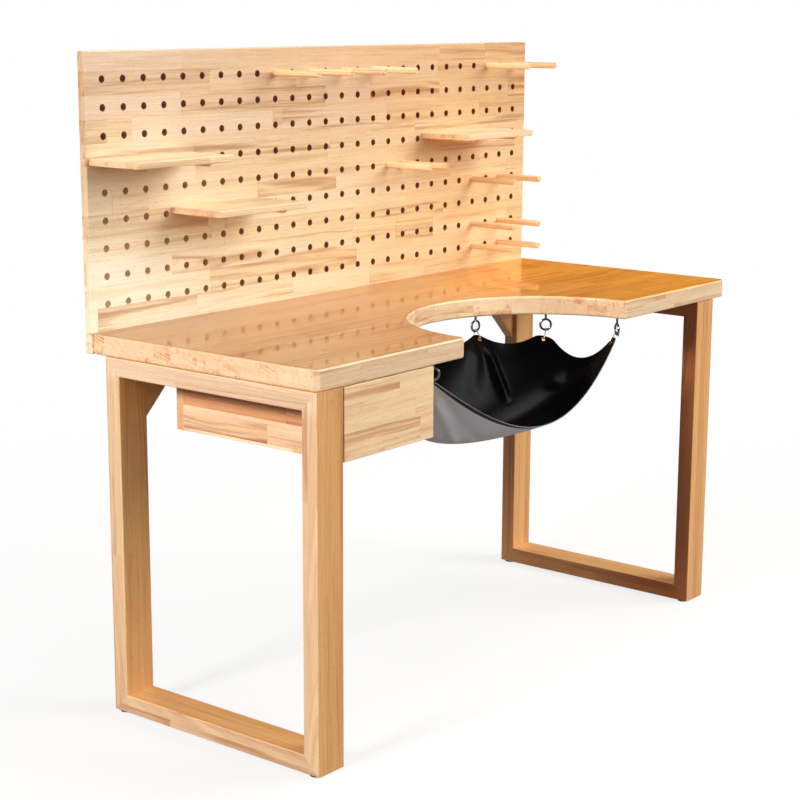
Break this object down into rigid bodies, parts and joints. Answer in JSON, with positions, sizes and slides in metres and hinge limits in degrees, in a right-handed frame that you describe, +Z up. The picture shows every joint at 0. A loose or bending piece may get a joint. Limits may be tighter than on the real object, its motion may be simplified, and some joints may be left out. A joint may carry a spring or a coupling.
{
  "type": "jewelers bench",
  "caption": "Free-standing jewellers bench with a cut-out desktop, pegboard with loose pegs and small shelves, a drawer and a hanging leather catch.",
  "frame": {"origin": "on the floor, under the centre of the bounding box", "axes": "+X to the worker's right along the desktop, +Y away from the worker towards the pegboard, +Z up"},
  "size_m": [1.5, 0.618, 1.348],
  "materials": {
    "desktop_wood": "satin clear lacquer",
    "pegboard_wood": "satin clear lacquer",
    "frame_wood": "satin clear lacquer",
    "peg_wood": "bare, sanded",
    "shelf_wood": "satin clear lacquer",
    "drawer_wood": "satin clear lacquer",
    "drawer_box_wood": "bare, sanded",
    "slide_steel": "zinc plated",
    "leather": "smooth black grain side up, grey flesh side down",
    "brass": "polished",
    "eye_steel": "bright drawn wire",
    "glide_plastic": "matt"
  },
  "bodies": {
    "bench": {"desktop": "desktop_wood", "pegboard": "pegboard_wood", "left_front_leg": "frame_wood", "left_rear_leg": "frame_wood", "left_top_rail": "frame_wood", "left_bottom_rail": "frame_wood", "right_front_leg": "frame_wood", "right_rear_leg": "frame_wood", "right_top_rail": "frame_wood", "right_bottom_rail": "frame_wood", "left_corner_block": "frame_wood", "right_corner_block": "frame_wood", "drawer_case_left_side": "drawer_wood", "drawer_case_right_side": "drawer_wood", "drawer_case_back": "drawer_wood", "left_outer_slide": "slide_steel", "right_outer_slide": "slide_steel", "leather_catch": "leather", "catch_eyelets": "brass", "catch_links": "brass", "screw_eyes": "eye_steel", "foot_glides": "glide_plastic"},
    "drawer": {"drawer_front": "drawer_wood", "drawer_left_side": "drawer_box_wood", "drawer_right_side": "drawer_box_wood", "drawer_back": "drawer_box_wood", "drawer_bottom": "drawer_box_wood", "left_inner_slide": "slide_steel", "right_inner_slide": "slide_steel"},
    "tool_peg_1": {"tool_peg_1": "peg_wood"},
    "tool_peg_2": {"tool_peg_2": "peg_wood"},
    "tool_peg_3": {"tool_peg_3": "peg_wood"},
    "tool_peg_4": {"tool_peg_4": "peg_wood"},
    "tool_peg_5": {"tool_peg_5": "peg_wood"},
    "tool_peg_6": {"tool_peg_6": "peg_wood"},
    "tool_peg_7": {"tool_peg_7": "peg_wood"},
    "tool_peg_8": {"tool_peg_8": "peg_wood"},
    "tool_peg_9": {"tool_peg_9": "peg_wood"},
    "tool_peg_10": {"tool_peg_10": "peg_wood"},
    "tool_peg_11": {"tool_peg_11": "peg_wood"},
    "tool_peg_12": {"tool_peg_12": "peg_wood"},
    "tool_peg_13": {"tool_peg_13": "peg_wood"},
    "tool_peg_14": {"tool_peg_14": "peg_wood"},
    "upper_left_shelf_unit": {"upper_left_shelf": "shelf_wood", "upper_left_shelf_left_peg": "peg_wood", "upper_left_shelf_right_peg": "peg_wood"},
    "lower_left_shelf_unit": {"lower_left_shelf": "shelf_wood", "lower_left_shelf_left_peg": "peg_wood", "lower_left_shelf_right_peg": "peg_wood"},
    "right_shelf_unit": {"right_shelf": "shelf_wood", "right_shelf_left_peg": "peg_wood", "right_shelf_right_peg": "peg_wood"}
  },
  "joints": [
    {"name": "drawer_slide", "type": "slide", "parent": "bench", "child": "drawer", "axis": [0, -1, 0], "range_m": [0, 0.3]},
    {"name": "tool_peg_1_pull", "type": "slide", "parent": "bench", "child": "tool_peg_1", "axis": [0, -1, 0], "range_m": [0, 0.03]},
    {"name": "tool_peg_2_pull", "type": "slide", "parent": "bench", "child": "tool_peg_2", "axis": [0, -1, 0], "range_m": [0, 0.03]},
    {"name": "tool_peg_3_pull", "type": "slide", "parent": "bench", "child": "tool_peg_3", "axis": [0, -1, 0], "range_m": [0, 0.03]},
    {"name": "tool_peg_4_pull", "type": "slide", "parent": "bench", "child": "tool_peg_4", "axis": [0, -1, 0], "range_m": [0, 0.03]},
    {"name": "tool_peg_5_pull", "type": "slide", "parent": "bench", "child": "tool_peg_5", "axis": [0, -1, 0], "range_m": [0, 0.03]},
    {"name": "tool_peg_6_pull", "type": "slide", "parent": "bench", "child": "tool_peg_6", "axis": [0, -1, 0], "range_m": [0, 0.03]},
    {"name": "tool_peg_7_pull", "type": "slide", "parent": "bench", "child": "tool_peg_7", "axis": [0, -1, 0], "range_m": [0, 0.03]},
    {"name": "tool_peg_8_pull", "type": "slide", "parent": "bench", "child": "tool_peg_8", "axis": [0, -1, 0], "range_m": [0, 0.03]},
    {"name": "tool_peg_9_pull", "type": "slide", "parent": "bench", "child": "tool_peg_9", "axis": [0, -1, 0], "range_m": [0, 0.03]},
    {"name": "tool_peg_10_pull", "type": "slide", "parent": "bench", "child": "tool_peg_10", "axis": [0, -1, 0], "range_m": [0, 0.03]},
    {"name": "tool_peg_11_pull", "type": "slide", "parent": "bench", "child": "tool_peg_11", "axis": [0, -1, 0], "range_m": [0, 0.03]},
    {"name": "tool_peg_12_pull", "type": "slide", "parent": "bench", "child": "tool_peg_12", "axis": [0, -1, 0], "range_m": [0, 0.03]},
    {"name": "tool_peg_13_pull", "type": "slide", "parent": "bench", "child": "tool_peg_13", "axis": [0, -1, 0], "range_m": [0, 0.03]},
    {"name": "tool_peg_14_pull", "type": "slide", "parent": "bench", "child": "tool_peg_14", "axis": [0, -1, 0], "range_m": [0, 0.03]},
    {"name": "upper_left_shelf_pull", "type": "slide", "parent": "bench", "child": "upper_left_shelf_unit", "axis": [0, -1, 0], "range_m": [0, 0.03]},
    {"name": "lower_left_shelf_pull", "type": "slide", "parent": "bench", "child": "lower_left_shelf_unit", "axis": [0, -1, 0], "range_m": [0, 0.03]},
    {"name": "right_shelf_pull", "type": "slide", "parent": "bench", "child": "right_shelf_unit", "axis": [0, -1, 0], "range_m": [0, 0.03]}
  ]
}
